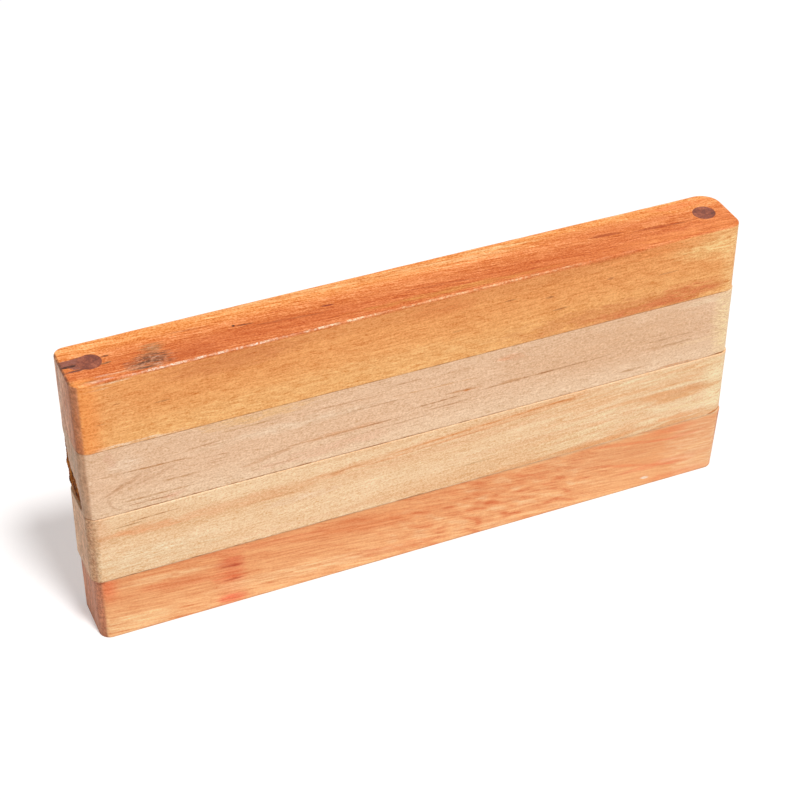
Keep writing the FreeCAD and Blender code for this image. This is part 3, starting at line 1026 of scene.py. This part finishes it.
creamFront = [
    (-62, 29.6, 13, 3.2, "EFBB8A", 0.55, 0.0, 0.6, 1.3),
    (-16, 26.8, 17, 2, "F0BA88", 0.5, 0.0, 0.7, 1.2),
    (44, 16.7, 30, 1.1, "E9A468", 0.8, 0.0, 0.6, 1.2),
    (-63, 27.8, 9, 1.3, "F4A66E", 0.7, -0.04, 1.0, 1.3),
    (-42, 28, 22, 1.5, "EFAC78", 0.55, 0.02, 0.8, 1.1),
    (10, 30.5, 34, 1.2, "F0A66C", 0.5, 0.05, 0.6, 1.1),
    (14, 30.9, 30, 0.24, "E69450", 0.8, 0.05),
    (6, 29.4, 24, 0.24, "E4955A", 0.6, 0.045, 0.5),
    (8, 28, 26, 1.1, "F0B686", 0.45, 0.03, 0.8, 1.1),
    (33, 31.7, 4.5, 0.32, "E2904E", 0.8, 0.0, 0.5),
    (-61, 30.6, 6.5, 0.14, "B47236", 0.8, 0.02),
    (-66.5, 29.8, 3.4, 0.14, "B47A44", 0.7, 0.02),
    (-20, 28.9, 8, 0.3, "E0975E", 0.7, 0.04, 0.5),
    (-36, 26.6, 9, 0.26, "E4A26C", 0.5),
    (59, 25.8, 12, 1, "EDAB76", 0.5, -0.01, 0.7, 1.1),
    (57, 22.6, 12, 1.6, "EEB282", 0.45, 0.02, 0.8, 1.1),
    (63, 26.9, 11, 0.35, "FAE0B8", 0.6, -0.01),
    (26, 23.4, 22, 0.8, "EFB686", 0.4, 0.02, 0.8, 1.1),
    (52, 17.4, 18, 1.4, "EBAA74", 0.55, 0.02, 0.7, 1.1),
    (-62, 19.5, 16, 3.6, "FADFB6", 0.6, 0.0, 0.7, 1.2),
    (-20, 18, 30, 0.6, "EFB686", 0.35, 0.0, 0.8, 1.1),
    (-30, 24.6, 9, 1, "F4CEAE", 0.4, 0.0, 0.8, 1.1),
    (12, 21, 5, 0.24, "CC9A64", 0.4),
    # painted highlight: a pale patch over the rounded right front corner
    (73.4, 26, 4.2, 9, "FFE4B4", 1.0, 0.0, 0.6, 1.4),
    (72.9, 16.8, 2, 0.27, "C46E2C", 1.2, 0.26, 0.3),
    (49.5, 32, 5, 0.45, "FFE8BE", 0.7, 0.05),
    (54, 26.2, 8.5, 0.8, "EBA668", 0.35, -0.03, 0.9, 1.2),
    (66, 25.4, 5.5, 1.3, "E6A066", 0.4, -0.02, 0.9, 1.3),
    (62, 23.7, 6, 0.8, "F0AE6E", 0.6, 0.03, 0.7, 1.1),
    (69, 31.3, 5, 0.8, "F4B87E", 0.6, -0.02, 0.8),
    (66.5, 20.8, 6.5, 0.6, "FFE2B0", 0.7, -0.03, 0.7),
    (58.5, 21.4, 3, 0.6, "FFE6BC", 0.6, 0.0, 0.8),
    (63, 18.3, 6, 1, "F0A468", 0.6, -0.02, 0.9, 1.2),
]


def creamWood():
    wood = Timber("creamWood", lowerBar, creamGrain)
    colour = wood.mix(wood.band.step(0.35, 0.65), "F6C999", "FBD5A8")
    colour = wood.paint(colour, creamFront, wood.z, wood.onFront)
    # soft flame streaks over the right half
    flame = wood.fibre(0.055, 0.85, roughness=0.55, offset=700)
    flamed = wood.x.step(15, 42) * wood.onFront
    colour = wood.mix(flame.step(0.51, 0.64) * flamed * 0.38, colour, "EFA86A")
    colour = wood.mix(flame.step(0.49, 0.36) * flamed * 0.5, colour, "FFE6B8")
    return wood.finishWood(colour, creamEnd)


salmonGrain = {
    **plainGrain,
    "wander": 1.6,
    "ripple": 0.6,
    "fallFront": 0.1,
    "fallTop": 0.05,
    "bandWidth": 0.22,
    "streakWidth": 1.0,
    "linePitch": 0.03,
    "finePitch": 0.1,
    "bandShare": 0.25,
    "streakShare": 0.75,
    "lineShare": 1.0,
    "fineShare": 0.75,
    "speckShare": 0.7,
    "poreShare": 0.04,
    "calm": 0.55,
    "depth": (0.35, 0.95, 1.25),
    "seamShade": 0.5,
    "seamRise": 0.55,
    "rubHighlightTint": "FBD2A6",
}

salmonEnd = {
    **plainEnd,
    "deep": "BC6C46",
    "pale": "E69A74",
    "grey": "C69A84",
    "front": "DE9068",
    # painted shade at the foot of the base's end
    "footShare": 0.45,
    "dark": "8A3E22",
    "light": "F0A070",
    "brown": 0.15,
    "fringe": "F47444",
    "fringeShare": 0.6,
    "fringeFrom": (8, 13.5),
    "torn": 0.4,
    "reach": (1.0, 1.5),
    "depth": (1.6, 2.0, 2.2),
}

salmonFront = [
    (48, 15.9, 34, 0.6, "F2BC88", 0.75, 0.0, 0.6, 1.2),
    (-45.4, 8, 3.4, 9, "F48858", 0.5, 0.0, 0.6, 1.4),
    (-45.3, 11.3, 3.3, 1.9, "E06E42", 0.85, -0.08, 0.9, 1.3),
    (-45, 10.8, 2.4, 0.45, "BC4424", 0.8, -0.1, 0.6, 1.1),
    (-45.3, 7.8, 3.4, 1.4, "EC7848", 0.8, -0.04, 0.9, 1.3),
    (-45, 7, 2.2, 0.4, "C85830", 0.8, -0.03, 0.6, 1.1),
    (-45, 1.7, 3.2, 1.4, "FA7E56", 0.95, 0.0, 0.9, 1.4),
    (-55, 10, 11, 1.4, "EE8C58", 0.6, -0.08, 0.8, 1.1),
    (-60, 13, 12, 1, "FFCE98", 0.5, -0.08, 0.8, 1.1),
    (-14, 12, 16, 2.1, "E8844C", 0.6, -0.09, 0.8, 1.1),
    (-10, 3, 14, 1.1, "F0854E", 0.6, -0.08, 0.8, 1.1),
    (-40, 14.6, 20, 1, "F09460", 0.5, -0.08, 0.7),
    (-28, 4, 22, 1.6, "FFD09A", 0.6, -0.07, 0.8, 1.2),
    (-68, 2.6, 10, 2.8, "FFD29A", 0.7, -0.05, 0.7, 1.2),
    (56, 2.3, 1.1, 0.4, "FFE8D0", 1.0, -0.1, 0.3),
    (62, 5.4, 12, 0.9, "F4885A", 0.6, 0.0, 0.8, 1.1),
    (66, 1, 9, 1, "F58C58", 0.7, 0.0, 0.8, 1.1),
    (45, 12, 20, 3, "F0B27E", 0.4, -0.05, 0.7),
    # painted highlight: a pale patch over the rounded right front corner
    (70, 8, 9, 10, "FFD0A0", 0.65, 0.0, 0.7, 1.4),
    (62, 14.6, 6.5, 1.1, "F07C46", 0.55, 0.0, 0.9, 1.3),
    (52, 13.7, 13, 0.5, "EE7C46", 0.55, -0.17, 0.7),
    (65, 12.2, 5.5, 0.5, "F4885A", 0.5, 0.0, 0.7),
    (67.5, 7.7, 4.5, 0.7, "FFC890", 0.7, 0.15, 0.7),
    (51, 7.4, 11, 0.5, "F0824E", 0.5, -0.27, 0.7),
    (64, 4.6, 4.5, 0.5, "F07C46", 0.5, -0.08, 0.7),
    (48, 15.98, 34, 0.14, "F6C08E", 0.7, 0.0, 0.3),
]


def salmonWood():
    wood = Timber("salmonWood", baseBar, salmonGrain)
    low = wood.z.step(13, 1)
    colour = wood.mix(low, "F3A56C", "FBB97F")
    colour = wood.paint(colour, salmonFront, wood.z, wood.onFront)
    # the flame figure: short dabs that cross the grain, over the middle of the bar
    along = wood.x.timesPlus(0.19, wood.z * -0.07)
    over = wood.z.timesPlus(0.62, wood.x * 0.17)
    dabs = wood.noise(wood.vector(along, wood.y * 0.4, over), detail=1.5, roughness=0.45, warp=0.3)
    place = wood.spot(wood.x, wood.z, (17, 6.5), (27, 9.5), 0.0, 0.5, 1.1)
    colour = wood.mix(dabs.step(0.46, 0.76) * place * 0.85, colour, "E2743E")
    colour = wood.mix(dabs.step(0.48, 0.3) * place * 0.55, colour, "FCCB98")
    return wood.finishWood(colour, salmonEnd)


def darkDowel():
    # end grain of a dark red-brown dowel: close pores with a paler fleck here and there
    dowel = Finish("darkDowel")
    cut = dowel.noise(dowel.point, scale=1.7, detail=3.0, roughness=0.75)
    wide = dowel.noise(dowel.point, scale=0.45, detail=1.0)
    colour = dowel.ramp(cut * 0.65 + wide * 0.35, [(0.32, "5E2E22"), (0.5, "8E4A36"), (0.68, "C07355")])
    normal = dowel.bump(cut, 0.5, 0.1)
    roughness = cut.step(0.3, 0.7, 0.42, 0.6)
    return dowel.close(colour, roughness, normal)


def brownBark():
    # loose bark: leaning fibres from nearly black to orange brown
    skin = Finish("brownBark")
    leaning = skin.z.timesPlus(0.6, skin.y * -0.78)
    fibres = skin.noise(skin.vector(skin.x * 0.8, leaning * 2.2, skin.z * 0.35), detail=3.0, roughness=0.65)
    patches = skin.noise(skin.point, scale=0.5, detail=1.0)
    stops = [(0.38, "2E1206"), (0.45, "6C381A"), (0.53, "AE5E20"), (0.63, "E08E3C")]
    colour = skin.ramp(fibres * 0.7 + patches * 0.3, stops)
    chips = skin.noise(skin.point, scale=1.6, detail=2.0, roughness=0.7)
    colour = skin.mix(chips.step(0.58, 0.68) * 0.55, colour, "D9A878")
    colour = skin.mix(chips.step(0.42, 0.32) * 0.6, colour, "30140A")
    normal = skin.bump(fibres, 0.8, 0.25)
    roughness = fibres.step(0.3, 0.7, 0.75, 0.9)
    return skin.close(colour, roughness, normal, specular=0.2)


makeBar(topBar, "topBar", orangeWood())
makeBar(upperBar, "upperBar", beigeWood())
makeBar(lowerBar, "lowerBar", creamWood())
makeBar(baseBar, "baseBar", salmonWood())
print("bars done")

makePiece("barkPatch", *barkSurface(), upperBar["body"], upperBar["slot"], brownBark(), sharp=70)
print("bark done")

dowelMaterial = darkDowel()
for nodeName in ("pivot_peg_top", "pivot_peg_middle", "pivot_peg_base", "end_plug_top", "end_plug_base"):
    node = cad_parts[nodeName]
    node.data.materials.clear()
    node.data.materials.append(dowelMaterial)
print("pegs done")


studio = {
    "floorSize": 6.0,
    "floorColour": (0.76, 0.76, 0.76, 1.0),
    "floorGlow": 0.36,
    "glowColour": (1.0, 0.92, 0.903, 1.0),
    "skyLight": 0.31,
    "keyPlace": (0.222, -1.285, 2.671),
    "keyAim": (-0.08, 0, 0),
    "keySize": 0.5,
    "keyPower": 66.4,
}

view = {
    "azimuth": -23.235,
    "elevation": 37.532,
    "distance": 0.44252,
    "target": (-0.002771, -0.0001, 0.037801),
    "lens": 92.51,
    "sensor": 36.0,
    "clip": (0.01, 20),
}


def glowRays(tree):
    # one for rays that show a background, straight, mirrored or through glass, and nought for rays that light
    path = join(tree, "ShaderNodeLightPath", {}, {}, "Is Camera Ray")
    outputs = path.socket.node.outputs
    shown = path.most(Value(tree, outputs["Is Glossy Ray"]))
    return shown.most(Value(tree, outputs["Is Transmission Ray"]))


def makeFloor():
    half = studio["floorSize"] / 2
    corners = [(-half, -half, 0), (half, -half, 0), (half, half, 0), (-half, half, 0)]
    mesh = bpy.data.meshes.new("floor")
    mesh.from_pydata(corners, [], [(0, 1, 2, 3)])
    floor = addObject("floor", mesh)
    material = emptyMaterial("paleFloor")
    tree = material.node_tree
    cloth = join(tree, "ShaderNodeBsdfDiffuse", {}, {"Color": studio["floorColour"]})
    strength = glowRays(tree) * studio["floorGlow"]
    glow = join(tree, "ShaderNodeEmission", {}, {"Color": studio["glowColour"], "Strength": strength})
    both = join(tree, "ShaderNodeAddShader", {}, (cloth, glow))
    join(tree, "ShaderNodeOutputMaterial", {}, {"Surface": both})
    mesh.materials.append(material)


def makeWorld():
    world = bpy.data.worlds.new("studio")
    world.use_nodes = True
    bpy.context.scene.world = world
    tree = world.node_tree
    tree.nodes.clear()
    strength = glowRays(tree) * (1 - studio["skyLight"]) + studio["skyLight"]
    sky = join(tree, "ShaderNodeBackground", {}, {"Color": (1, 1, 1, 1), "Strength": strength})
    join(tree, "ShaderNodeOutputWorld", {}, {"Surface": sky})


def makeLamp():
    data = bpy.data.lights.new("keyLamp", "AREA")
    data.shape = "DISK"
    data.size = studio["keySize"]
    data.energy = studio["keyPower"]
    lamp = addObject("keyLamp", data)
    lamp.location = studio["keyPlace"]
    aim = Vector(studio["keyAim"]) - Vector(studio["keyPlace"])
    lamp.rotation_euler = aim.to_track_quat("-Z", "Y").to_euler()


def makeCamera():
    data = bpy.data.cameras.new("camera")
    data.lens = view["lens"]
    data.sensor_width = view["sensor"]
    data.clip_start, data.clip_end = view["clip"]
    azimuth = math.radians(view["azimuth"])
    elevation = math.radians(view["elevation"])
    level = math.cos(elevation)
    back = Vector((math.sin(azimuth) * level, -math.cos(azimuth) * level, math.sin(elevation)))
    camera = addObject("camera", data)
    camera.location = Vector(view["target"]) + back * view["distance"]
    camera.rotation_euler = (-back).to_track_quat("-Z", "Y").to_euler()
    bpy.context.scene.camera = camera


makeFloor()
makeWorld()
makeLamp()
makeCamera()
bpy.context.scene.view_settings.view_transform = "Standard"
print("studio done")
